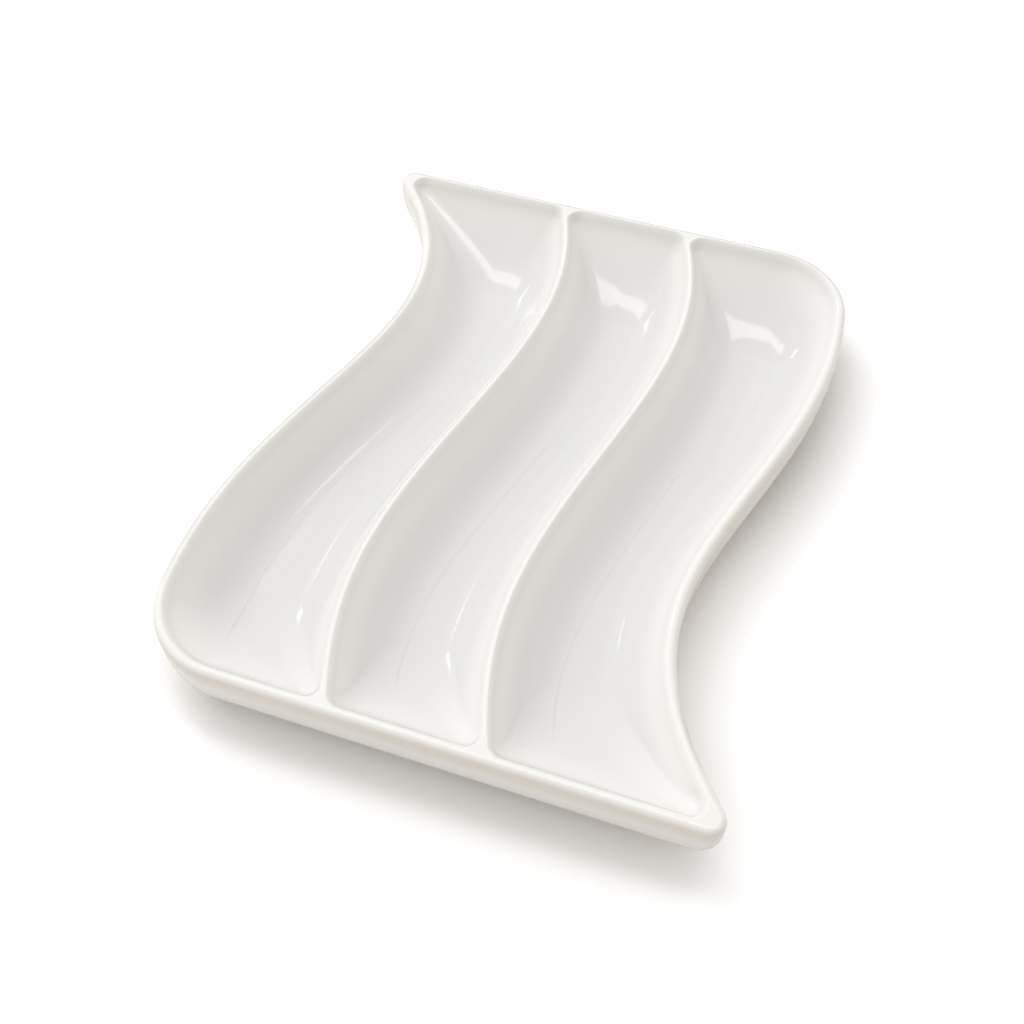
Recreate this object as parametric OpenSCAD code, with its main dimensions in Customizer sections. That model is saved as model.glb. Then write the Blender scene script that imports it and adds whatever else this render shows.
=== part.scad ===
// Relish tray: one porcelain casting with three wave-shaped wells side by side.
// Z is up and zero is the table. The long lines run along Y, the two straight end rims along X.
// Seen from above the plan looks the same after half a turn: one sharp tip and one round corner at each end.

/* [Overall size] */

// Length over the two end rims, along Y
body_l = 248; // [210:1:290]
// Height from the table to the rim
body_h = 28; // [24:0.5:34]
// Distance between neighbouring long lines, which is one well and one wall
well_pitch = 51.5; // [49:0.5:58]

/* [Wave of the long lines] */

// Greatest sideways swing of every long line
wave_swing = 11.4; // [4:0.2:15]
// How far the two outer edges lean out at the sharp tips
tip_flare = 20.3; // [14:0.1:24]
// How far they lean out beside the round corners
round_flare = 11.2; // [4:0.1:14]
// Extra swing of the outer edges against the inner lines
edge_swing = 8.5; // [4:0.5:12]

/* [Rim and dividers] */

// Width of the outer rim, over its two rounded edges
rim_w = 5.2; // [4.4:0.1:7]
// Width of each divider at its top, over its two rounded edges
divider_w = 4.8; // [4.4:0.1:7]
// Share of the width that each of the two rounded edges takes, where 0.5 leaves no flat top
lip_share = 0.46; // [0.3:0.01:0.48]
// Height over which those edges round off
lip_h = 3; // [1.5:0.1:5]

/* [Plan corners] */

// Radius of the two large corners, on the outer face
corner_r = 31; // [16:0.5:34]
// Radius of the two sharp tips, on the outer face
tip_r = 5.4; // [3:0.1:8]
// Radius of a well where it meets a divider, at the rim
junction_r = 3.6; // [2:0.1:9]
// Radius of a well inside a sharp tip, at the rim
tip_well_r = 3; // [2:0.5:6]

/* [Wells] */

// Thickness of the casting under the well floors
floor_t = 5.5; // [4:0.5:8]
// Sideways reach of the curve from a long wall down to the floor
side_run = 18.5; // [14:0.5:19]
// Reach of the longer curve at both ends of a well
end_run = 38; // [24:1:46]
// Power of both curves, where 1 is an ellipse and more gives the wall a tighter foot
foot_power = 1.3; // [1:0.05:1.5]
// How much the top of both curves leans back, where 0 starts upright below the rim
wall_ease = 0.25; // [0:0.05:0.5]
// Plan radius of the well corners at floor level
floor_corner_r = 2.5; // [1:0.25:3]
// How much fuller the small well corners are halfway down
corner_blend = 6; // [1:0.5:7]

/* [Outside and foot] */

// Height of the upright band below the rim
upright_h = 3; // [1:0.5:8]
// Inward reach of the curve from the upright band to the underside
under_run = 28; // [20:1:30]
// Fullness of that curve, where 2 is an ellipse
under_fullness = 2.6; // [2:0.1:3.2]
// Plan radius of the corners of the flat underside
base_corner_r = 14; // [10:0.5:18]
// Height of the unglazed foot ring
foot_h = 2.5; // [1.5:0.25:4]
// Width of the foot ring
foot_w = 6; // [4:0.5:9]
// Distance from the edge of the flat underside to the foot ring
foot_inset = 3; // [2:0.5:6]

/* [Hidden] */

// Shares that shape the wave, and the height of that curve before it is brought to wave_swing
wave_end_share = -0.18;
wave_peak_share = 0.378;
swing_fade_share = 0.83;

// Steps along each stretch of a loop and up each curve
side_steps = 28;
corner_steps = 8;
end_steps = 4;
curve_steps = 9;
lip_steps = 3;
seat_steps = 18;

half_l = body_l / 2;
crest_y = half_l - rim_w / 2;
floor_z = foot_h + floor_t;
lip_z = body_h - lip_h;
upright_z = lip_z - upright_h;
slope_step = crest_y / 500;
cut_over = lip_h;
rim_lip = lip_share * rim_w;
pocket_r = corner_r - rim_w;
ring_inset = under_run + foot_inset;

glaze = [0.94, 0.935, 0.915];
bare = [0.86, 0.82, 0.76];

// Sideways place of the inner lines at the share u of the half length
function wave(u) = wave_swing / wave_peak_share * u * (1 - u * u) * (1 + wave_end_share * pow(u, 4));

// How far the outer edge stands outside the inner lines, from the round end u = -1 to the tip u = 1
function flare(u) =
    (tip_flare + round_flare) / 2 * pow(abs(u), 3)
    + (tip_flare - round_flare) / 2 * pow(u, 3)
    - edge_swing * u * (1 - u * u) * (1 - swing_fade_share * u * u);

// The four long lines, from the left edge 0 over the dividers 1 and 2 to the right edge 3
function line_x(k, y) =
    let (u = y / crest_y)
    (k - 1.5) * well_pitch + wave(u) + (k == 0 ? -flare(u) : k == 3 ? flare(-u) : 0);

function lean(k, y) = (line_x(k, y + slope_step) - line_x(k, y - slope_step)) / (2 * slope_step);

// Unit direction from line k into the loop, for a loop on its right (side 1) or left (side -1)
function inward(k, side, y) =
    let (s = lean(k, y))
    side * [1, -s] / sqrt(1 + s * s);

function offset_point(k, side, y, d) = [line_x(k, y), y] + d * inward(k, side, y);

// Station on line k whose point at distance d lies at the height goal
function seat(k, side, d, goal, y, left) =
    left == 0 ? y : seat(k, side, d, goal, goal - d * inward(k, side, y)[1], left - 1);

// Rounded corner between line k and an end rim: its station, its centre and its direction outwards
function corner_seat(k, side, end, d_side, d_end, r) =
    let (
        goal = end * (half_l - d_end - r),
        y = seat(k, side, d_side + r, goal, goal, seat_steps),
        out = -inward(k, side, y)
    )
    [y, offset_point(k, side, y, d_side + r), atan2(out[1], out[0])];

function arc(centre, r, from, to) =
    [for (i = [0 : corner_steps])
        let (a = from + (to - from) * i / corner_steps)
        centre + r * [cos(a), sin(a)]];

function side_points(k, side, d, from, to) =
    [for (i = [1 : side_steps - 1]) offset_point(k, side, from + (to - from) * i / side_steps, d)];

function straight(a, b) = [for (i = [1 : end_steps - 1]) a + (b - a) * i / end_steps];

function turn(a) = a < 0 ? a + 360 : a;

// Closed loop between the lines left and right, inset from them by d_left and d_right and from the
// end faces by d_end. The radii belong to the far right, far left, near left and near right corners.
function loop(left, right, d_left, d_right, d_end, r) =
    let (
        far_right = corner_seat(right, -1, 1, d_right, d_end, r[0]),
        far_left = corner_seat(left, 1, 1, d_left, d_end, r[1]),
        near_left = corner_seat(left, 1, -1, d_left, d_end, r[2]),
        near_right = corner_seat(right, -1, -1, d_right, d_end, r[3]),
        arc_a = arc(far_right[1], r[0], far_right[2], 90),
        arc_b = arc(far_left[1], r[1], 90, turn(far_left[2])),
        arc_c = arc(near_left[1], r[2], turn(near_left[2]), 270),
        arc_d = arc(near_right[1], r[3], -90, near_right[2])
    )
    concat(
        arc_a, straight(arc_a[corner_steps], arc_b[0]),
        arc_b, side_points(left, 1, d_left, far_left[0], near_left[0]),
        arc_c, straight(arc_c[corner_steps], arc_d[0]),
        arc_d, side_points(right, -1, d_right, near_right[0], far_right[0])
    );

function raised(points, z) = [for (p = points) [p[0], p[1], z]];

function mix(a, b, t) = a + (b - a) * t;

// Solid through a stack of loops with the same number of points, from the lowest to the highest
module loft(stack) {
    n = len(stack[0]);
    top = (len(stack) - 1) * n;
    skin = [for (level = [0 : len(stack) - 2], i = [0 : n - 1])
        let (a = level * n + i, b = level * n + (i + 1) % n)
        each [[a, a + n, b + n], [a, b + n, b]]];
    caps = [[for (i = [0 : n - 1]) i], [for (i = [n - 1 : -1 : 0]) top + i]];
    polyhedron(points = [for (points = stack) each points], faces = concat(skin, caps), convexity = 8);
}

// Loop round the whole tray at an inset from the outer face
function body_loop(inset, tip, round_corner) =
    loop(0, 3, inset - rim_w / 2, inset - rim_w / 2, inset, [round_corner, tip, round_corner, tip]);

// Outside of the casting: flat underside, curve, upright band and rounded rim edge
module outer_form() {
    under = [for (i = [0 : curve_steps])
        let (a = 90 * i / curve_steps, t = 1 - pow(sin(a), 2 / under_fullness))
        raised(
            body_loop(under_run * t, mix(tip_r, base_corner_r, t), mix(corner_r, base_corner_r, t)),
            mix(upright_z, foot_h, pow(cos(a), 2 / under_fullness))
        )];
    edge = [for (i = [0 : lip_steps])
        let (a = 90 * i / lip_steps, inset = rim_lip * (1 - cos(a)))
        raised(body_loop(inset, tip_r - inset, corner_r - inset), lip_z + lip_h * sin(a))];
    loft(concat(under, edge));
}

function wall_w(k) = k == 0 || k == 3 ? rim_w : divider_w;

// Loop of the well between the lines k and k + 1, inset from its upright faces and widened by a share
// of the walls beside it
function well_loop(k, inset_side, inset_end, widen, radii) =
    loop(
        k, k + 1,
        (0.5 - widen) * wall_w(k) + inset_side,
        (0.5 - widen) * wall_w(k + 1) + inset_side,
        (1 - widen) * rim_w + inset_end,
        [for (r = radii) r + widen * rim_w]
    );

// The space of one well, from its floor up through the flare between the rounded rim edges
module well(k) {
    upright_radii = [
        k == 2 ? pocket_r : junction_r,
        k == 0 ? tip_well_r : junction_r,
        k == 0 ? pocket_r : junction_r,
        k == 2 ? tip_well_r : junction_r
    ];
    bowl = [for (i = [0 : curve_steps])
        let (
            a = 90 * i / curve_steps,
            down = 1 - pow(sin(a), foot_power),
            t = down + wall_ease * cos(a) * pow(sin(a), 2),
            fuller = corner_blend * junction_r * sin(180 * down),
            radii = [for (r = upright_radii) mix(r, floor_corner_r, down) + fuller / max(r, junction_r)]
        )
        raised(well_loop(k, side_run * t, end_run * t, 0, radii), mix(lip_z, floor_z, cos(a)))];
    flare_out = [for (i = [1 : lip_steps])
        let (a = 90 * i / lip_steps, widen = lip_share * (1 - cos(a)))
        raised(well_loop(k, 0, 0, widen, upright_radii), lip_z + lip_h * sin(a))];
    above = [for (p = flare_out[lip_steps - 1]) p + [0, 0, cut_over]];
    loft(concat(bowl, flare_out, [above]));
}

// Glazed casting: the outside with its three wells; the dividers are what stays between them.
// The whole casting is meshed at once, at its stated length.
module tray_body() {
    color(glaze)
        resize([0, body_l, 0])
            difference() {
                outer_form();
                for (k = [0 : 2]) well(k);
            }
}

// Unglazed ring under the flat underside, on which the tray stands
module foot_ring() {
    color(bare)
        linear_extrude(height = foot_h)
            difference() {
                polygon(body_loop(ring_inset, base_corner_r, base_corner_r));
                polygon(body_loop(ring_inset + foot_w, base_corner_r - foot_w, base_corner_r - foot_w));
            }
}

tray_body();
foot_ring();
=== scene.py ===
# Relish tray in white glazed porcelain, with three wave-shaped wells, on a white studio floor.
# Lengths are in metres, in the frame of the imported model: +Z up, the wells along Y.

import math

import bpy
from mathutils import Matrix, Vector


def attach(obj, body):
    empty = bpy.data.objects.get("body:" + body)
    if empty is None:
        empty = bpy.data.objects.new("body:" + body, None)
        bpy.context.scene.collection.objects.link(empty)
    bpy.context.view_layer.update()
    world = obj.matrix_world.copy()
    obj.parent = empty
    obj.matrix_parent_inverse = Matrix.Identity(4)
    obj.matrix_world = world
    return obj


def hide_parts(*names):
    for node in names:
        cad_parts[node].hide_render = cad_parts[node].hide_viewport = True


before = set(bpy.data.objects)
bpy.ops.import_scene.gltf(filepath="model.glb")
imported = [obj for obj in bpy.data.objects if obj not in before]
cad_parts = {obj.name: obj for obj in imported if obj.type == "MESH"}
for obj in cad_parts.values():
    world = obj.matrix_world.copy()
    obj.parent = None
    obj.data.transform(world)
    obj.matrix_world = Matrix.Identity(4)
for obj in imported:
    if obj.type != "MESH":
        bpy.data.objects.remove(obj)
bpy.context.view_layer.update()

MM = 0.001

# Sizes of the casting, as in the part's source but for a fuller curve to the underside
TRAY_SIZES = {
    "Length": 248 * MM,
    "Height": 28 * MM,
    "Well pitch": 51.5 * MM,
    "Wave swing": 11.4 * MM,
    "Tip flare": 20.3 * MM,
    "Round flare": 11.2 * MM,
    "Edge swing": 8.5 * MM,
    "Rim width": 5.2 * MM,
    "Divider width": 4.8 * MM,
    "Lip share": 0.46,
    "Lip height": 3 * MM,
    "Corner radius": 31 * MM,
    "Tip radius": 5.4 * MM,
    "Junction radius": 3.6 * MM,
    "Tip well radius": 3 * MM,
    "Floor thickness": 5.5 * MM,
    "Side run": 18.5 * MM,
    "End run": 38 * MM,
    "Foot power": 1.3,
    "Wall ease": 0.25,
    "Floor corner radius": 2.5 * MM,
    "Corner blend": 6 * MM,
    "Upright height": 3 * MM,
    "Under run": 28 * MM,
    "Under fullness": 3.1,
    "Base corner radius": 14 * MM,
    "Foot height": 2.5 * MM,
    "Foot width": 6 * MM,
    "Foot inset": 3 * MM,
}

# Shape of the wave and of the extra swing of the outer edges
WAVE_END = -0.18
WAVE_PEAK = 0.378
SWING_FADE = 0.83

# Fullness of the rounded rim edges, where 2 is an ellipse
EDGE_FULLNESS = 2.0

# How much the walls lean back just below the rim, at the sides and at the ends, and how soon that fades
SIDE_LEAN = 0.35
END_LEAN = 0.08
LEAN_FADE = 8

# Share of that slant with which the inner rim edges go on, at the sides and at the ends
SIDE_SLANT_SHARE = 0.75
END_SLANT_SHARE = 0.85

# Shape of the foot ring's section: how square its edges are, and how much it narrows to the table
FOOT_SQUARENESS = 0.3
FOOT_TAPER = 0.16

# Fine lines in the glaze along the foot of each left wall
CREASE_WIDTH = 0.5 * MM
CREASE_HEIGHT = 0.2 * MM
CREASE_BEGIN = 104 * MM
CREASE_LENGTH = 132 * MM
CREASE_WAVER = 2.4 * MM

# For each well, how far its line lies from the middle of the left wall, and how far it drifts from there
CREASES = ((20.4 * MM, 1.0 * MM), (19.4 * MM, 5.5 * MM), (20.2 * MM, 1.5 * MM))

# Hollow of the glaze along the wells, as height over squared length
FLOOR_DISH = 0.3

# Relief of the ripple in the glaze, and of the grain in the bare clay
RIPPLE_HEIGHT = 0.36 * MM
GRAIN_HEIGHT = 0.05 * MM

# Colours of the glaze in the wells, from the floor up to the rim: painted shade, darker and cooler, at
# the floor, and painted light, lighter and warmer, up the walls
PAINTED_SHADE_FLOOR_GLAZE = (0.770, 0.768, 0.763, 1)
PAINTED_LIGHT_WALL_GLAZE = (0.880, 0.868, 0.845, 1)
RIM_GLAZE = (0.900, 0.888, 0.864, 1)

# Colours of the glaze outside: the wall, a warm dark band of painted shade on the near side, and painted
# shade on the far and left rim edges
OUTER_GLAZE = (0.905, 0.890, 0.862, 1)
PAINTED_SHADE_BAND_GLAZE = (0.825, 0.785, 0.718, 1)
PAINTED_SHADE_FAR_EDGE_GLAZE = (0.650, 0.640, 0.618, 1)

# Heights over which one colour of the glaze gives way to the next
WALL_RISE = (9 * MM, 24 * MM)
INNER_RIM_RISE = (25.5 * MM, 27.6 * MM)
SHADE_BAND_RISE = (20.5 * MM, 24.5 * MM)
SHADE_BAND_END = (26.4 * MM, 27.96 * MM)
OUTER_RIM_RISE = (26.4 * MM, 27.9 * MM)
FAR_EDGE_RISE = (23.5 * MM, 26.0 * MM)

# The outside lies beyond these lines: one at each side, which leans with the tray, and one at each end
OUTSIDE_ACROSS = 60 * MM
OUTSIDE_LEAN = 0.1
OUTSIDE_ALONG = 118 * MM

# Direction over the table away from the camera, in which the far and left rim edges face
AWAY_ACROSS = -0.32
AWAY_ALONG = 0.95

# Stretch at the near end over which the painted shade of those edges comes in
FAR_EDGE_BEGIN = (-112 * MM, -90 * MM)

# Colours of the bare clay and of the glaze that ends on the flanks of the foot ring
PALE_CLAY = (0.760, 0.715, 0.640, 1)
BROWN_CLAY = (0.640, 0.580, 0.490, 1)
FLANK_GLAZE = (0.80, 0.785, 0.745, 1)

# Colours of the white table: as it lights the tray, and as the camera sees it in the open, in the shade
# of the tray and in the deeper shade on its right
TABLE_LIGHT = (0.88, 0.87, 0.85, 1)
TABLE_OPEN = (1.165, 1.175, 1.195, 1)
TABLE_SHADE = (0.960, 0.945, 0.925, 1)
TABLE_DEEP_SHADE = (0.780, 0.768, 0.752, 1)

# How far the shade reaches, how much open sky ends it, and where it is left out and where it is deeper
SHADE_REACH = 36 * MM
SHADE_END = (0.45, 1.0)
LIT_ACROSS = (60 * MM, 78 * MM)
LIT_ALONG = (-110 * MM, -50 * MM)
DEEP_ACROSS = (30 * MM, 80 * MM)
DEEP_ALONG = (-30 * MM, 50 * MM)
TABLE_REACH = 3.0

# Height and width of the two overhead softboxes
ARM_HEIGHT = 2.16
ARM_WIDTH = 0.38

# Direction of the bright side of the room, and the colours of its dark and bright sides
BRIGHT_WAY = (-0.60, 0.25, 0.76)
ROOM_DARK = (0.330, 0.290, 0.215, 1)
ROOM_BRIGHT = (0.90, 0.90, 0.905, 1)

# Camera: 18.7 degrees to the right of the near end and 53.2 degrees above the table
CAMERA_TURN = math.radians(18.703)
CAMERA_RISE = math.radians(53.226)
CAMERA_DISTANCE = 401.678 * MM
CAMERA_TARGET = Vector((4.275 * MM, -34.973 * MM, 28 * MM))
CAMERA_LENS = 42.1875
CAMERA_SENSOR = 36

# Mesh steps along each stretch of a loop and up each curve
CORNER_STEPS = 16
END_STEPS = 24
SIDE_STEPS = 100
HALF_STEPS = 2 * CORNER_STEPS + END_STEPS + SIDE_STEPS
LOOP_STEPS = 2 * HALF_STEPS
CURVE_STEPS = 22
LIP_STEPS = 8
BAND_STEPS = 2
FOOT_STEPS = 40
SEAT_ROUNDS = 14
WELD = 0.002 * MM
CAP_SLACK = 0.05 * MM
FLAT_NORMAL = 0.99999


class Graph:
    """A node tree, with one call that adds any node."""

    def __init__(self, tree):
        self.tree = tree

    def add(self, kind, settings=None, values=None):
        node = self.tree.nodes.new(kind)
        for name, setting in (settings or {}).items():
            setattr(node, name, setting)
        for name, value in (values or {}).items():
            self.feed(node.inputs[name], value)
        return node

    def feed(self, socket, value):
        if isinstance(value, Field):
            value = value.socket
        if isinstance(value, bpy.types.NodeSocket):
            self.tree.links.new(value, socket)
        else:
            socket.default_value = value

    def field(self, kind, settings=None, values=None, output=0):
        return Field(self, self.add(kind, settings, values).outputs[output])


class Field:
    """A value socket in Python arithmetic: every step adds its Math node."""

    def __init__(self, graph, socket):
        self.graph = graph
        self.socket = socket

    def math(self, operation, *values):
        return self.graph.field(
            "ShaderNodeMath", {"operation": operation}, dict(enumerate(values)))

    def __add__(self, other):
        return self.math("ADD", self, other)

    __radd__ = __add__

    def __sub__(self, other):
        return self.math("SUBTRACT", self, other)

    def __rsub__(self, other):
        return self.math("SUBTRACT", other, self)

    def __mul__(self, other):
        return self.math("MULTIPLY", self, other)

    __rmul__ = __mul__

    def __truediv__(self, other):
        return self.math("DIVIDE", self, other)

    def __rtruediv__(self, other):
        return self.math("DIVIDE", other, self)

    def __neg__(self):
        return self * -1

    def __pow__(self, other):
        return self.math("POWER", self, other)

    def __lt__(self, other):
        return self.math("LESS_THAN", self, other)

    def __gt__(self, other):
        return self.math("GREATER_THAN", self, other)

    def __abs__(self):
        return self.math("ABSOLUTE", self)

    def floor(self):
        return self.math("FLOOR", self)

    def sqrt(self):
        return self.math("SQRT", self)

    def sine(self):
        return self.math("SINE", self)

    def cosine(self):
        return self.math("COSINE", self)

    def bell(self):
        return self.math("EXPONENT", -(self * self))

    def rise(self, low, high):
        """Smooth step from 0 at low to 1 at high."""
        return self.graph.field("ShaderNodeMapRange", {"interpolation_type": "SMOOTHSTEP"}, {
            "Value": self, "From Min": low, "From Max": high})

    def turn_to(self, other):
        return self.math("ARCTAN2", self, other)

    def at_least(self, other):
        return self.math("MAXIMUM", self, other)


def mix(a, b, share):
    return a + (b - a) * share


class Plan:
    """The plan of the tray in node maths: its four long lines and the loops between them."""

    def __init__(self, graph, sizes):
        self.graph = graph
        self.sizes = sizes
        self.half = sizes["Length"] / 2
        self.crest = self.half - sizes["Rim width"] / 2

    def long_line(self, line, station):
        """Sideways place and slope of a long line, 0 to 3, at a station along Y."""
        s = self.sizes
        u = station / self.crest
        u2 = u * u
        u4 = u2 * u2
        swing = s["Wave swing"] / WAVE_PEAK
        wave = swing * u * (1 - u2) * (1 + WAVE_END * u4)
        wave_slope = swing * (1 - 3 * u2 + u4 * (5 * WAVE_END - 7 * WAVE_END * u2))
        beside = line - 1.5
        outer = abs(beside) > 1
        hand = outer * (1 - 2 * (beside < 0))
        spread = (s["Tip flare"] + s["Round flare"]) / 2
        skew = (s["Tip flare"] - s["Round flare"]) / 2
        edge = s["Edge swing"]
        flare = (hand * spread * abs(u) * u2 - outer * skew * u2 * u
                 + outer * edge * u * (1 - u2) * (1 - SWING_FADE * u2))
        flare_slope = (3 * hand * spread * abs(u) * u - 3 * outer * skew * u2
                       + outer * edge * (1 - 3 * (1 + SWING_FADE) * u2 + 5 * SWING_FADE * u4))
        across = beside * s["Well pitch"] + wave + flare
        return across, (wave_slope + flare_slope) / self.crest

    def inward(self, slope, side):
        """Unit direction across a line into a loop on its right, side 1, or its left, side -1."""
        scale = side / (1 + slope * slope).sqrt()
        return scale, -(slope * scale)

    def beside(self, line, side, station, distance):
        """Point at a distance from the line, and the direction towards it."""
        across, slope = self.long_line(line, station)
        in_x, in_y = self.inward(slope, side)
        return across + distance * in_x, station + distance * in_y, in_x, in_y

    def seat(self, line, side, reach, goal):
        """Station on the line whose point at the distance reach lies at the height goal."""
        begin = self.graph.add("GeometryNodeRepeatInput")
        end = self.graph.add("GeometryNodeRepeatOutput")
        begin.pair_with_output(end)
        end.repeat_items.clear()
        end.repeat_items.new("FLOAT", "Station")
        self.graph.feed(begin.inputs["Iterations"], SEAT_ROUNDS)
        self.graph.feed(begin.inputs["Station"], goal)
        station = Field(self.graph, begin.outputs["Station"])
        in_x, in_y = self.inward(self.long_line(line, station)[1], side)
        self.graph.feed(end.inputs["Station"], goal - reach * in_y)
        return Field(self.graph, end.outputs["Station"])

    def loop_point(self, column, lines, insets, end_inset, radii):
        """Point of a rounded loop; columns run from the far right corner round to the left."""
        half = (column / HALF_STEPS).floor()
        place = column - half * HALF_STEPS
        flip = 1 - 2 * half
        on_side = place > 2 * CORNER_STEPS + END_STEPS - 0.5
        past_first = place > CORNER_STEPS + 0.5
        past_end = place > CORNER_STEPS + END_STEPS - 0.5

        # First corner of the half, or on a side the corner where that side ends
        right_hand = 1 - abs(half - on_side)
        corner_end = flip * (1 - 2 * on_side)
        radius_a = mix(radii[2], radii[0], right_hand)
        line_a = mix(lines[0], lines[1], right_hand)
        inset_a = mix(insets[0], insets[1], right_hand)
        side_a = 1 - 2 * right_hand
        goal_a = corner_end * (self.half - end_inset - radius_a)
        seat_a = self.seat(line_a, side_a, inset_a + radius_a, goal_a)
        ax, ay, in_ax, in_ay = self.beside(line_a, side_a, seat_a, inset_a + radius_a)

        # Second corner of the half
        radius_b = mix(radii[1], radii[3], half)
        line_b = mix(lines[0], lines[1], half)
        inset_b = mix(insets[0], insets[1], half)
        goal_b = flip * (self.half - end_inset - radius_b)
        seat_b = self.seat(line_b, flip, inset_b + radius_b, goal_b)
        bx, by, in_bx, in_by = self.beside(line_b, flip, seat_b, inset_b + radius_b)

        # Arcs, with the second half turned round onto the first
        quarter = math.pi / 2
        from_a = (-(flip * in_ay)).turn_to(-(flip * in_ax))
        to_b = math.pi - (-(flip * in_by)).turn_to(flip * in_bx)
        turn_a = mix(from_a, quarter, place / CORNER_STEPS)
        turn_b = mix(quarter, to_b, (place - CORNER_STEPS - END_STEPS) / CORNER_STEPS)
        arc_ax = ax + flip * radius_a * turn_a.cosine()
        arc_ay = ay + flip * radius_a * turn_a.sine()
        arc_bx = bx + flip * radius_b * turn_b.cosine()
        arc_by = by + flip * radius_b * turn_b.sine()

        # Straight end and long side
        end_x = mix(ax, bx, (place - CORNER_STEPS) / END_STEPS)
        end_y = flip * (self.half - end_inset)
        along = (place - 2 * CORNER_STEPS - END_STEPS) / SIDE_STEPS
        side_x, side_y, _, _ = self.beside(line_b, flip, mix(seat_b, seat_a, along), inset_b)

        x = mix(mix(mix(arc_ax, end_x, past_first), arc_bx, past_end), side_x, on_side)
        y = mix(mix(mix(arc_ay, end_y, past_first), arc_by, past_end), side_y, on_side)
        return x, y


LOOP_INPUTS = ["Column", "Left line", "Right line", "Left inset", "Right inset", "End inset",
               "Far right radius", "Far left radius", "Near left radius", "Near right radius"]


def new_tree(name, inputs, outputs):
    tree = bpy.data.node_groups.new(name, "GeometryNodeTree")
    for label, kind in inputs:
        tree.interface.new_socket(name=label, in_out="INPUT", socket_type=kind)
    for label, kind in outputs:
        tree.interface.new_socket(name=label, in_out="OUTPUT", socket_type=kind)
    return tree


def size_sockets():
    return [(name, "NodeSocketFloat") for name in TRAY_SIZES]


def plan_loop_tree():
    """Node group that gives the plan point of one column of a loop."""
    tree = new_tree(
        "Plan loop",
        size_sockets() + [(name, "NodeSocketFloat") for name in LOOP_INPUTS],
        [("X", "NodeSocketFloat"), ("Y", "NodeSocketFloat")])
    graph = Graph(tree)
    given = {s.name: Field(graph, s) for s in graph.add("NodeGroupInput").outputs if s.name}
    plan = Plan(graph, given)
    v = [given[name] for name in LOOP_INPUTS]
    x, y = plan.loop_point(v[0], v[1:3], v[3:5], v[5], v[6:10])
    graph.add("NodeGroupOutput", values={"X": x, "Y": y})
    return tree


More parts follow.
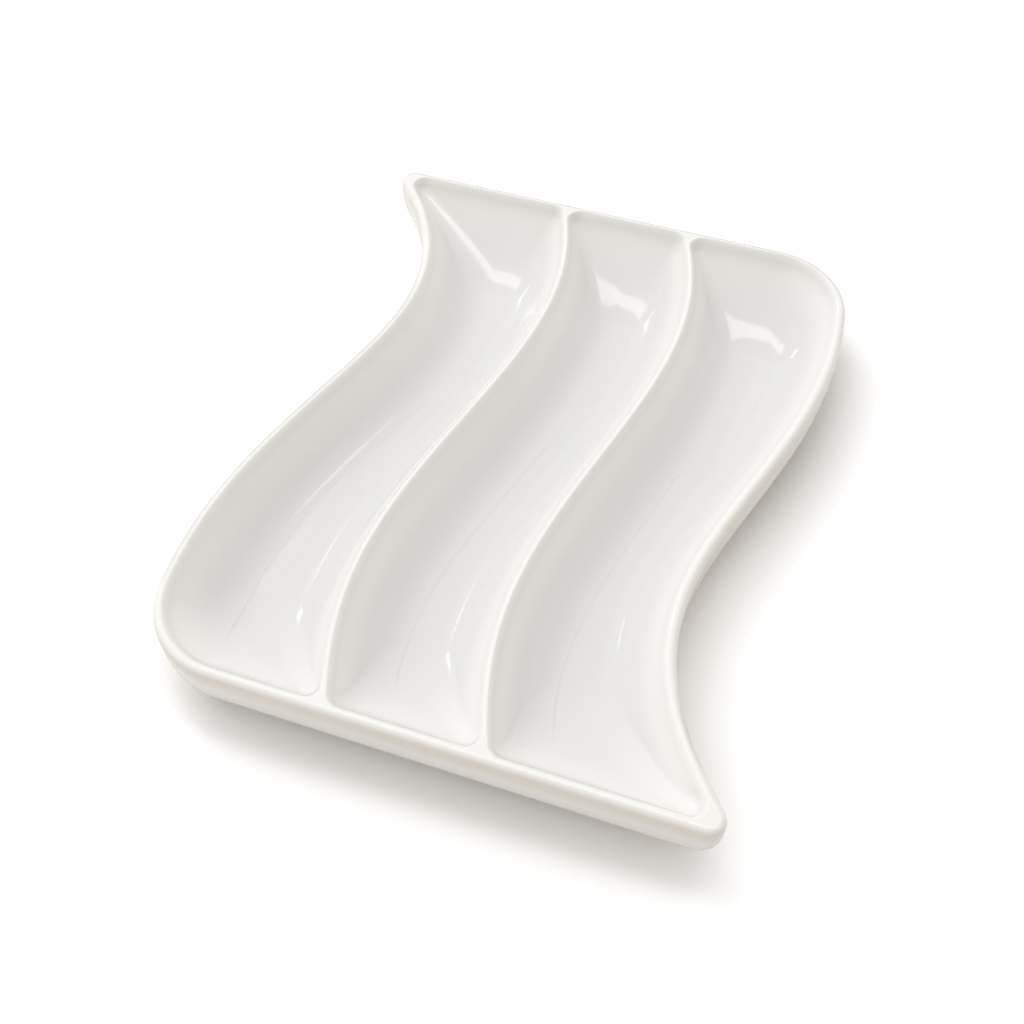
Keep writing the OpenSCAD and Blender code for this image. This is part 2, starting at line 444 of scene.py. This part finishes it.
class Casting:
    """Geometry nodes of one piece, built from skins that are lofted through plan loops."""

    def __init__(self, name, loop_tree):
        self.tree = new_tree(name, size_sockets(), [("Geometry", "NodeSocketGeometry")])
        self.graph = Graph(self.tree)
        given = self.graph.add("NodeGroupInput").outputs
        self.sizes = {s.name: Field(self.graph, s) for s in given if s.name}
        self.loop_tree = loop_tree
        self.skins = []

    def skin(self, rows, level, flip=False):
        """Grid of LOOP_STEPS columns, whose rows follow level(row): loop settings and height."""
        grid = self.graph.add("GeometryNodeMeshGrid", values={
            "Vertices X": LOOP_STEPS + 1, "Vertices Y": rows + 1})
        index = self.graph.field("GeometryNodeInputIndex")
        column = ((index + 0.5) / (rows + 1)).floor()
        row = index - column * (rows + 1)
        settings, height = level(row)
        wrapped = column - LOOP_STEPS * (column > LOOP_STEPS - 0.5)
        loop = self.graph.add("GeometryNodeGroup", {"node_tree": self.loop_tree})
        for name, size in self.sizes.items():
            self.graph.feed(loop.inputs[name], size)
        for name, value in zip(LOOP_INPUTS, [wrapped] + settings):
            self.graph.feed(loop.inputs[name], value)
        point = self.graph.add("ShaderNodeCombineXYZ", values={
            "X": loop.outputs["X"], "Y": loop.outputs["Y"], "Z": height})
        placed = self.graph.add("GeometryNodeSetPosition", values={
            "Geometry": grid.outputs["Mesh"], "Position": point.outputs[0]})
        mesh = placed.outputs[0]
        if flip:
            mesh = self.graph.add("GeometryNodeFlipFaces", values={"Mesh": mesh}).outputs[0]
        self.skins.append(mesh)

    def joined(self, meshes):
        join = self.graph.add("GeometryNodeJoinGeometry")
        for mesh in meshes:
            self.tree.links.new(mesh, join.inputs[0])
        weld = self.graph.add("GeometryNodeMergeByDistance", values={
            "Geometry": join.outputs[0], "Distance": WELD})
        return weld.outputs[0]

    def cap(self, mesh, height, flip=False):
        """Flat faces across the open edges of the mesh at one height."""
        neighbours = self.graph.field("GeometryNodeInputMeshEdgeNeighbors")
        position = self.graph.add("GeometryNodeInputPosition")
        z = self.graph.add("ShaderNodeSeparateXYZ", values={"Vector": position.outputs[0]})
        near = abs(Field(self.graph, z.outputs["Z"]) - height) < CAP_SLACK
        chosen = near * (neighbours < 1.5)
        rings = self.graph.add("GeometryNodeMeshToCurve", values={
            "Mesh": mesh, "Selection": chosen})
        fill = self.graph.add("GeometryNodeFillCurve", values={"Curve": rings.outputs[0]})
        lift = self.graph.add("ShaderNodeCombineXYZ", values={"Z": height})
        raised = self.graph.add("GeometryNodeSetPosition", values={
            "Geometry": fill.outputs[0], "Offset": lift.outputs[0]})
        mesh = raised.outputs[0]
        if flip:
            mesh = self.graph.add("GeometryNodeFlipFaces", values={"Mesh": mesh}).outputs[0]
        return mesh

    def finish(self, mesh, material):
        facing = self.graph.add("GeometryNodeInputNormal")
        up = self.graph.add("ShaderNodeSeparateXYZ", values={"Vector": facing.outputs["Normal"]})
        curved = abs(Field(self.graph, up.outputs["Z"])) < FLAT_NORMAL
        smooth = self.graph.add("GeometryNodeSetShadeSmooth", values={
            "Geometry": mesh, "Selection": curved})
        real = self.graph.add("GeometryNodeRealizeInstances", values={
            "Geometry": smooth.outputs[0]})
        dressed = self.graph.add("GeometryNodeSetMaterial", values={
            "Geometry": real.outputs[0], "Material": material})
        self.graph.add("NodeGroupOutput", values={"Geometry": dressed.outputs[0]})

    def piece(self, name):
        """Plain mesh object made by the tree at the tray's sizes."""
        host = bpy.data.objects.new(name, bpy.data.meshes.new(name))
        bpy.context.scene.collection.objects.link(host)
        modifier = host.modifiers.new("Shape", "NODES")
        modifier.node_group = self.tree
        for item in self.tree.interface.items_tree:
            if item.in_out == "INPUT" and item.name in TRAY_SIZES:
                modifier[item.identifier] = TRAY_SIZES[item.name]
        depsgraph = bpy.context.evaluated_depsgraph_get()
        mesh = bpy.data.meshes.new_from_object(host.evaluated_get(depsgraph))
        host.modifiers.remove(modifier)
        mesh.name = name
        host.data = mesh
        return host


def tray_piece(loop_tree, material):
    cast = Casting("Tray casting", loop_tree)
    s = cast.sizes
    rim = s["Rim width"]
    lip = s["Lip share"] * rim
    lip_z = s["Height"] - s["Lip height"]
    upright_z = lip_z - s["Upright height"]
    floor_z = s["Foot height"] + s["Floor thickness"]
    pocket = s["Corner radius"] - rim
    quarter = math.pi / 2

    def body_loop(inset, tip, corner):
        beside = inset - rim / 2
        return [0, 3, beside, beside, inset, corner, tip, corner, tip]

    def edge_curve(row):
        """Share of the width and of the height of a rounded edge at a row."""
        turn = row * (quarter / LIP_STEPS)
        power = 2 / EDGE_FULLNESS
        return 1 - abs(turn.cosine()) ** power, turn.sine() ** power

    def under(row):
        turn = row * (quarter / CURVE_STEPS)
        power = 2 / s["Under fullness"]
        t = 1 - turn.sine() ** power
        tip = mix(s["Tip radius"], s["Base corner radius"], t)
        corner = mix(s["Corner radius"], s["Base corner radius"], t)
        height = mix(upright_z, s["Foot height"], abs(turn.cosine()) ** power)
        return body_loop(s["Under run"] * t, tip, corner), height

    def band(row):
        return (body_loop(0 * rim, s["Tip radius"], s["Corner radius"]),
                mix(upright_z, lip_z, row / BAND_STEPS))

    def outer_lip(row):
        across, up = edge_curve(row)
        inset = lip * across
        return (body_loop(inset, s["Tip radius"] - inset, s["Corner radius"] - inset),
                lip_z + s["Lip height"] * up)

    cast.skin(CURVE_STEPS, under)
    cast.skin(BAND_STEPS, band)
    cast.skin(LIP_STEPS, outer_lip)

    for k in range(3):
        left_wall = rim if k == 0 else s["Divider width"]
        right_wall = rim if k == 2 else s["Divider width"]
        junction = s["Junction radius"]
        tip_well = s["Tip well radius"]
        radii = [pocket if k == 2 else junction, tip_well if k == 0 else junction,
                 pocket if k == 0 else junction, tip_well if k == 2 else junction]

        def well_loop(side_inset, end_inset, widen, end_widen, corners, k=k,
                      left=left_wall, right=right_wall):
            return ([k, k + 1, left * (0.5 - widen) + side_inset,
                     right * (0.5 - widen) + side_inset, rim * (1 - end_widen) + end_inset]
                    + [corner + widen * rim for corner in corners])

        def bowl(row, radii=radii, well_loop=well_loop, junction=junction):
            turn = row * (quarter / CURVE_STEPS)
            sine = turn.sine()
            down = 1 - sine ** s["Foot power"]
            t = down + s["Wall ease"] * turn.cosine() * sine * sine
            lean = turn.cosine() * sine ** LEAN_FADE
            side_inset = s["Side run"] * (t + lean * SIDE_LEAN)
            end_inset = s["End run"] * (t + lean * END_LEAN)
            fuller = s["Corner blend"] * junction * (down * math.pi).sine()
            corners = [mix(r, s["Floor corner radius"], down) + fuller / r.at_least(junction)
                       for r in radii]
            return (well_loop(side_inset, end_inset, 0, 0, corners),
                    mix(lip_z, floor_z, turn.cosine()))

        def inner_lip(row, radii=radii, well_loop=well_loop):
            across, up = edge_curve(row)
            slant = s["Lip height"] / ((lip_z - floor_z) * lip)
            side_slant = s["Side run"] * slant * (s["Wall ease"] + SIDE_LEAN)
            end_slant = s["End run"] * slant * (s["Wall ease"] + END_LEAN)
            widen = s["Lip share"] * mix(across, up, side_slant * SIDE_SLANT_SHARE)
            end_widen = s["Lip share"] * mix(across, up, end_slant * END_SLANT_SHARE)
            return (well_loop(0, 0, widen, end_widen, radii), lip_z + s["Lip height"] * up)

        cast.skin(CURVE_STEPS, bowl, flip=True)
        cast.skin(LIP_STEPS, inner_lip, flip=True)

    shell = cast.joined(cast.skins)
    land = cast.cap(shell, s["Height"])
    floors = cast.cap(shell, floor_z)
    base = cast.cap(shell, s["Foot height"], flip=True)
    cast.finish(cast.joined([shell, land, floors, base]), material)
    return cast.piece("tray")


def foot_piece(loop_tree, material):
    """Foot ring with softly rounded edges, a little narrower where it was ground flat."""
    cast = Casting("Foot ring", loop_tree)
    s = cast.sizes
    half_width = s["Foot width"] / 2
    centre = s["Under run"] + s["Foot inset"] + half_width

    def section(row):
        turn = (row - FOOT_STEPS * (row > FOOT_STEPS - 0.5)) * (2 * math.pi / FOOT_STEPS)
        cosine = turn.cosine()
        sine = turn.sine()
        across = (abs(cosine) ** FOOT_SQUARENESS) * (1 - 2 * (cosine < 0))
        up = ((abs(sine) ** FOOT_SQUARENESS) * (1 - 2 * (sine < 0)) + 1) / 2
        inset = centre - half_width * across * (1 - FOOT_TAPER * (1 - up))
        beside = inset - s["Rim width"] / 2
        corner = s["Base corner radius"] - (inset - centre + half_width)
        return [0, 3, beside, beside, inset, corner, corner, corner, corner], s["Foot height"] * up

    cast.skin(FOOT_STEPS, section)
    cast.finish(cast.joined(cast.skins), material)
    return cast.piece("foot")


def new_material(name):
    material = bpy.data.materials.new(name)
    material.use_nodes = True
    material.node_tree.nodes.clear()
    return material, Graph(material.node_tree)


def colour_mix(graph, share, a, b):
    node = graph.add("ShaderNodeMix", {"data_type": "RGBA"}, {0: share, 6: a, 7: b})
    return node.outputs[2]


def noise(graph, place, scale, detail=2.0, roughness=0.5):
    return graph.field("ShaderNodeTexNoise", {"noise_dimensions": "3D"}, {
        "Vector": place, "Scale": scale, "Detail": detail, "Roughness": roughness})


def glaze_creases(graph, place):
    """Fine raised lines in the glaze, where the left wall of each well runs out into its floor."""
    split = graph.add("ShaderNodeSeparateXYZ", values={"Vector": place})
    x, y, z = (Field(graph, split.outputs[axis]) for axis in "XYZ")
    plan = Plan(graph, TRAY_SIZES)
    along = (y + CREASE_BEGIN) / CREASE_LENGTH
    waver = (noise(graph, place, scale=9.0, detail=1.0) - 0.5) * CREASE_WAVER
    lines = 0
    for line, (start, drift) in enumerate(CREASES):
        across, slope = plan.long_line(line, y)
        distance = (x - across) / (1 + slope * slope).sqrt()
        miss = distance - start - along * drift - waver
        lines = (miss / CREASE_WIDTH).bell() + lines
    above_underside = z > 6 * MM
    fading_ends = along.rise(-0.03, 0.06) * (1 - along.rise(0.85, 1.05))
    return lines * (above_underside * fading_ends)


def outer_side(graph, place):
    """Shares of the surface that are outside, that face away to the far left, and that face near."""
    facing = graph.add("ShaderNodeNewGeometry").outputs["Normal"]
    way = graph.add("ShaderNodeSeparateXYZ", values={"Vector": facing})
    x, y = (Field(graph, place.outputs[axis]) for axis in "XY")
    way_x, way_y = (Field(graph, way.outputs[axis]) for axis in "XY")
    beyond = (abs(x - y * OUTSIDE_LEAN) > OUTSIDE_ACROSS).at_least(abs(y) > OUTSIDE_ALONG)
    outside = (x * way_x + y * way_y).rise(-2 * MM, 6 * MM) * beyond
    away = (way_y * AWAY_ALONG + way_x * AWAY_ACROSS).rise(-0.02, 0.24) * y.rise(*FAR_EDGE_BEGIN)
    near = (-way_y).rise(-0.1, 0.6)
    return outside, away, near


def glaze_material():
    """Clear gloss glaze over porcelain: warm on the rims, with painted shade darker and cooler low in
    the wells.
    """
    material, graph = new_material("Porcelain glaze")
    place = graph.add("ShaderNodeTexCoord").outputs["Object"]
    split = graph.add("ShaderNodeSeparateXYZ", values={"Vector": place})
    length = Field(graph, split.outputs["Y"])
    height = Field(graph, split.outputs["Z"])
    outer, away, near = outer_side(graph, split)

    # Colour in the wells: painted shade low down giving way to painted light up the walls, with a random
    # mottle
    cloud = noise(graph, place, scale=14.0)
    painted_light_and_mottle = height.rise(*WALL_RISE) + (cloud - 0.5) * 0.4
    wall = colour_mix(graph, painted_light_and_mottle, PAINTED_SHADE_FLOOR_GLAZE, PAINTED_LIGHT_WALL_GLAZE)
    inside = colour_mix(graph, height.rise(*INNER_RIM_RISE), wall, RIM_GLAZE)

    # Colour outside, with painted shade: a warm dark band below the rim where the wall faces near, and
    # grey on the far and left rim edges
    plain = colour_mix(graph, height.rise(*OUTER_RIM_RISE), OUTER_GLAZE, RIM_GLAZE)
    band = height.rise(*SHADE_BAND_RISE) * (1 - height.rise(*SHADE_BAND_END)) * near
    painted_shade_banded = colour_mix(graph, band * (cloud * 0.8 + 0.6), plain, PAINTED_SHADE_BAND_GLAZE)
    # Painted shade: grey on the outer rim edges that face away on the far and left sides
    outside = colour_mix(graph, away * height.rise(*FAR_EDGE_RISE), painted_shade_banded, PAINTED_SHADE_FAR_EDGE_GLAZE)
    colour = colour_mix(graph, outer, inside, outside)

    # Relief and sheen
    ripple = noise(graph, place, scale=38.0, detail=1.5)
    peel = noise(graph, place, scale=260.0, detail=1.0)
    bump = graph.add("ShaderNodeBump", values={
        "Strength": 0.5, "Distance": RIPPLE_HEIGHT, "Height": ripple * 0.95 + peel * 0.05})
    creases = graph.add("ShaderNodeBump", values={
        "Strength": 1.0, "Distance": CREASE_HEIGHT, "Height": glaze_creases(graph, place),
        "Normal": bump.outputs[0]})
    dish = graph.add("ShaderNodeBump", values={
        "Strength": 1.0, "Distance": 1.0, "Height": length * length * FLOOR_DISH,
        "Normal": creases.outputs[0]})
    sheen = noise(graph, place, scale=55.0, detail=3.0)
    shader = graph.add("ShaderNodeBsdfPrincipled", values={
        "Base Color": colour, "Roughness": 0.07 + sheen * 0.06, "IOR": 1.5,
        "Normal": dish.outputs[0]})
    graph.add("ShaderNodeOutputMaterial", values={"Surface": shader.outputs[0]})
    return material


def foot_material():
    """Bare fired clay that was ground flat, with the glaze ending on its flanks."""
    material, graph = new_material("Bare foot")
    place = graph.add("ShaderNodeTexCoord").outputs["Object"]
    grain = noise(graph, place, scale=2600.0, detail=3.0, roughness=0.6)
    stain = noise(graph, place, scale=60.0, detail=3.0)
    colour = colour_mix(graph, grain * 0.35 + stain * 0.5, PALE_CLAY, BROWN_CLAY)
    bump = graph.add("ShaderNodeBump", values={
        "Strength": 0.5, "Distance": GRAIN_HEIGHT, "Height": grain})
    clay = graph.add("ShaderNodeBsdfPrincipled", values={
        "Base Color": colour, "Roughness": 0.72 + grain * 0.2, "Normal": bump.outputs[0]})
    glaze = graph.add("ShaderNodeBsdfPrincipled", values={
        "Base Color": FLANK_GLAZE, "Roughness": 0.1})
    up = graph.add("ShaderNodeSeparateXYZ", values={"Vector": place})
    glaze_end = noise(graph, place, scale=120.0) * (0.6 * MM) + 0.9 * MM
    glazed = Field(graph, up.outputs["Z"]) > glaze_end
    both = graph.add("ShaderNodeMixShader", values={
        0: glazed, 1: clay.outputs[0], 2: glaze.outputs[0]})
    graph.add("ShaderNodeOutputMaterial", values={"Surface": both.outputs[0]})
    return material


def floor_material():
    """White table: brighter for the camera than for the tray, and darker under and beside the tray."""
    material, graph = new_material("White table")
    path = graph.add("ShaderNodeLightPath")
    open_sky = graph.field(
        "ShaderNodeAmbientOcclusion", {"samples": 8}, {"Distance": SHADE_REACH}, output=1)
    place = graph.add("ShaderNodeTexCoord").outputs["Object"]
    split = graph.add("ShaderNodeSeparateXYZ", values={"Vector": place})
    across, along = (Field(graph, split.outputs[axis]) for axis in "XY")
    lit_side = (-across).rise(*LIT_ACROSS) * along.rise(*LIT_ALONG)
    deep_side = across.rise(*DEEP_ACROSS) * along.rise(*DEEP_ALONG)
    shade = colour_mix(graph, deep_side, TABLE_SHADE, TABLE_DEEP_SHADE)
    in_the_open = open_sky.rise(*SHADE_END).at_least(lit_side)
    seen = colour_mix(graph, in_the_open, shade, TABLE_OPEN)
    colour = colour_mix(graph, path.outputs["Is Camera Ray"], TABLE_LIGHT, seen)
    matt = graph.add("ShaderNodeBsdfDiffuse", values={"Color": colour})
    graph.add("ShaderNodeOutputMaterial", values={"Surface": matt.outputs[0]})
    return material


def aim(obj, target):
    obj.rotation_euler = (Vector(target) - obj.location).to_track_quat("-Z", "Y").to_euler()


def softbox(name, place, target, width, height, power, mirrored=True):
    data = bpy.data.lights.new(name, "AREA")
    data.shape = "RECTANGLE"
    data.size = width
    data.size_y = height
    data.energy = power
    lamp = bpy.data.objects.new(name, data)
    lamp.visible_glossy = mirrored
    lamp.location = place
    aim(lamp, target)
    bpy.context.scene.collection.objects.link(lamp)
    return lamp


def overhead_arm(name, start, end, power):
    """Long softbox that hangs level between two points, facing straight down."""
    along = Vector(end) - Vector(start)
    middle = (Vector(end) + Vector(start)) / 2
    place = (middle.x, middle.y, ARM_HEIGHT)
    lamp = softbox(name, place, (middle.x, middle.y, 0), along.length, ARM_WIDTH, power)
    lamp.rotation_euler = (0, 0, math.atan2(along.y, along.x))


def studio_room():
    """White room whose light comes mostly from the left and from above."""
    world = bpy.data.worlds.new("room")
    world.use_nodes = True
    world.node_tree.nodes.clear()
    graph = Graph(world.node_tree)
    way = graph.add("ShaderNodeTexCoord").outputs["Generated"]
    towards = graph.add("ShaderNodeVectorMath", {"operation": "DOT_PRODUCT"}, {
        0: way, 1: BRIGHT_WAY})
    share = Field(graph, towards.outputs["Value"]) * 0.5 + 0.5
    colour = colour_mix(graph, share, ROOM_DARK, ROOM_BRIGHT)
    light = graph.add("ShaderNodeBackground", values={"Color": colour, "Strength": 1.0})
    graph.add("ShaderNodeOutputWorld", values={"Surface": light.outputs[0]})
    return world


glaze = glaze_material()
loop_tree = plan_loop_tree()
tray = tray_piece(loop_tree, glaze)
foot = foot_piece(loop_tree, foot_material())

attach(tray, "root")
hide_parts("tray_body")
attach(foot, "root")
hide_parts("foot_ring")

# White floor, wide enough for the whole view
floor_mesh = bpy.data.meshes.new("table")
floor_mesh.from_pydata(
    [(TABLE_REACH * x, TABLE_REACH * y, 0) for x, y in ((-1, -1), (1, -1), (1, 1), (-1, 1))], [],
    [(0, 1, 2, 3)])
floor_mesh.materials.append(floor_material())
floor = bpy.data.objects.new("table", floor_mesh)
bpy.context.scene.collection.objects.link(floor)

# Camera at the photograph's angle
camera_data = bpy.data.cameras.new("camera")
camera_data.sensor_width = CAMERA_SENSOR
camera_data.lens = CAMERA_LENS
camera = bpy.data.objects.new("camera", camera_data)
away = Vector((math.sin(CAMERA_TURN) * math.cos(CAMERA_RISE),
               -math.cos(CAMERA_TURN) * math.cos(CAMERA_RISE), math.sin(CAMERA_RISE)))
camera.location = CAMERA_TARGET + CAMERA_DISTANCE * away
aim(camera, CAMERA_TARGET)
bpy.context.scene.collection.objects.link(camera)
bpy.context.scene.camera = camera

# Two boxes overhead in a V, which the far ends of the wells mirror as slanted highlights
overhead_arm("right arm", start=(-0.15, 0.34), end=(0.75, 0.85), power=4.3)
overhead_arm("left arm", start=(-0.05, 0.30), end=(-1.15, 0.82), power=5.0)

# Soft key light on the left that isn't mirrored, and a small box whose streaks show in the right walls
softbox("key box", place=(-1.06, 0.48, 1.22), target=(0, 0, 0), width=1.1, height=1.1, power=5.8,
        mirrored=False)
softbox("side strip", place=(-1.19, 0.9, 0.69), target=(0, -0.1, 0), width=0.26, height=0.20,
        power=0.75)

bpy.context.scene.world = studio_room()
bpy.context.scene.view_settings.view_transform = "Standard"
